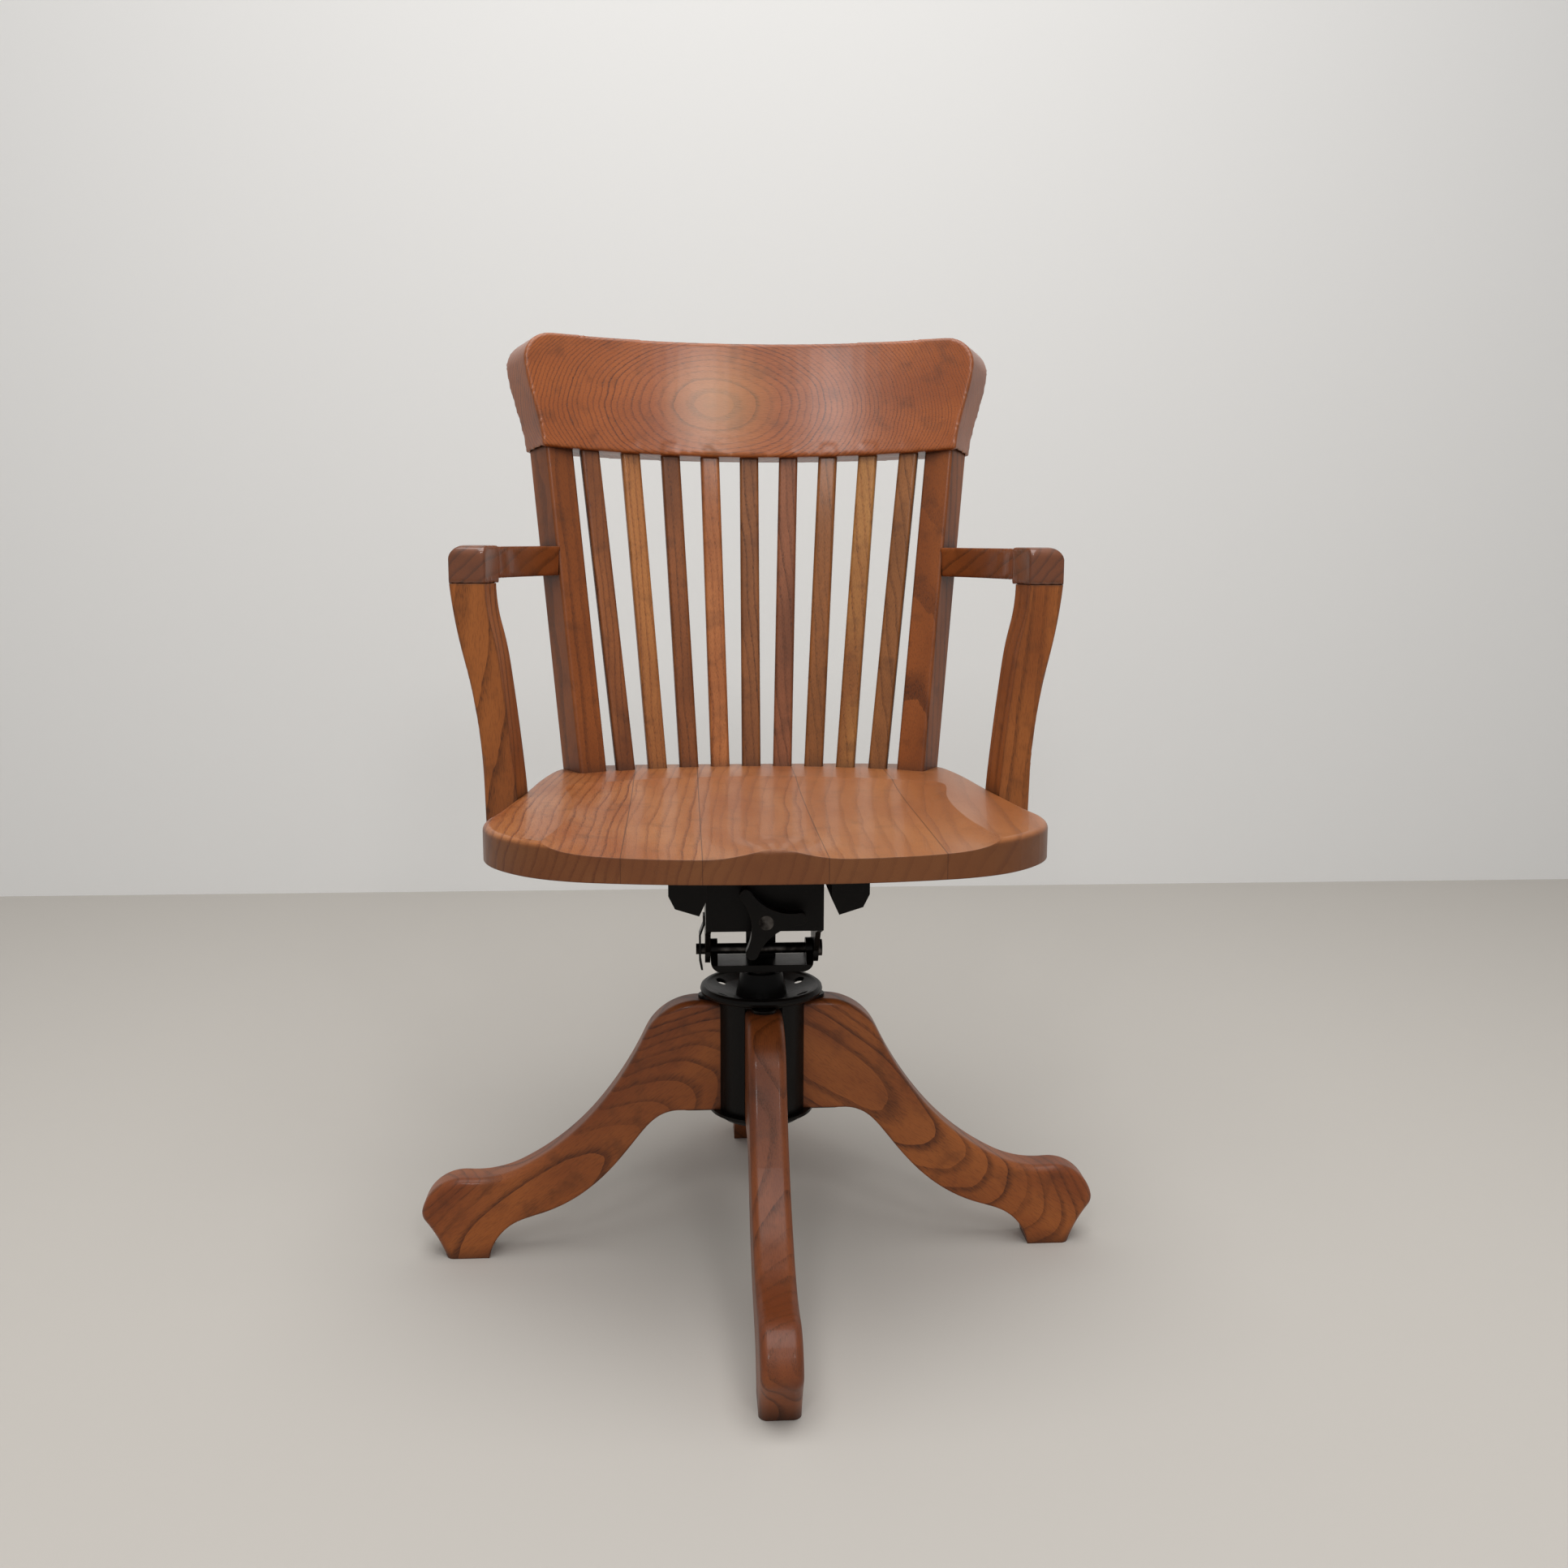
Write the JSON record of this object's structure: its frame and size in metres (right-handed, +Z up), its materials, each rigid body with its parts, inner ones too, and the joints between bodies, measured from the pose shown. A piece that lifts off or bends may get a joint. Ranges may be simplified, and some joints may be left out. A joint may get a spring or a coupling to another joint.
{
  "type": "bankers swivel chair",
  "caption": "Oak office armchair with a saddled seat, a slatted curved back and four sawn legs; it swivels, leans back on a spring and is raised by a screw and hand wheel.",
  "frame": {"origin": "on the floor under the swivel axis, midway between the four feet", "axes": "+Z up along the swivel axis; -Y the way the sitter faces; +X to the right of someone who faces the chair's front"},
  "size_m": [0.6918, 0.6918, 0.9517],
  "materials": {
    "oak": "golden oak under worn varnish",
    "japanned_iron": "black japanning, worn on the edges",
    "steel": "dark oiled steel",
    "bronze": "dull bronze",
    "rubber": "dull"
  },
  "bodies": {
    "base": {"leg_front": "oak", "leg_right": "oak", "leg_rear": "oak", "leg_left": "oak", "hub_body": "japanned_iron", "star_plate": "japanned_iron", "ear_screws": "steel", "strap_screws": "steel", "hub_bush": "bronze", "thrust_washer": "bronze"},
    "swivel": {"swivel_tube": "steel", "tube_collar": "steel"},
    "wheel": {"height_wheel": "japanned_iron"},
    "spindle": {"spindle_screw": "steel", "yoke": "japanned_iron", "tilt_axle": "steel"},
    "upper": {"tilt_frame": "japanned_iron", "frame_bolts": "steel", "axle_keeper": "japanned_iron", "tilt_stop": "rubber", "seat_bearer_left": "japanned_iron", "seat_bearer_right": "japanned_iron", "bearer_screws": "steel", "seat": "oak", "back_post_left": "oak", "back_post_right": "oak", "slat_1": "oak", "slat_2": "oak", "slat_3": "oak", "slat_4": "oak", "slat_5": "oak", "slat_6": "oak", "slat_7": "oak", "slat_8": "oak", "slat_9": "oak", "crest_rail": "oak", "arm_post_left": "oak", "arm_post_right": "oak", "arm_post_screws": "steel", "arm_rail_left": "oak", "arm_rail_right": "oak"},
    "knob": {"tension_knob": "japanned_iron", "tension_screw": "steel"},
    "cup": {"spring_cup": "japanned_iron", "tension_spring": "steel"}
  },
  "joints": [
    {"name": "swivel", "type": "hinge", "parent": "base", "child": "swivel", "pos_m": [0, 0, 0.256], "axis": [0, 0, 1], "continuous": true},
    {"name": "wheel_turn", "type": "hinge", "parent": "swivel", "child": "wheel", "pos_m": [0, 0, 0.28], "axis": [0, 0, -1], "range_deg": [0, 4800]},
    {"name": "height_slide", "type": "slide", "parent": "swivel", "child": "spindle", "axis": [0, 0, 1], "range_m": [0, 0.0801]},
    {"name": "tilt", "type": "hinge", "parent": "spindle", "child": "upper", "pos_m": [0, 0, 0.318], "axis": [-1, 0, 0], "range_deg": [0, 15], "stiffness_Nm_per_rad": 120, "springref_deg": -8.59, "deforming": ["tension_spring"]},
    {"name": "tension_turn", "type": "hinge", "parent": "upper", "child": "knob", "pos_m": [0, -0.085, 0.367], "axis": [0, 1, 0], "range_deg": [0, 1800]},
    {"name": "cup_travel", "type": "slide", "parent": "upper", "child": "cup", "axis": [0, 1, 0], "range_m": [0, 0.0101], "deforming": ["tension_spring"]}
  ],
  "couplings": [
    {"joint": "height_slide", "follows": "wheel_turn", "m_per_rad": 0.00095493},
    {"joint": "cup_travel", "follows": "tension_turn", "m_per_rad": 0.00031831}
  ]
}
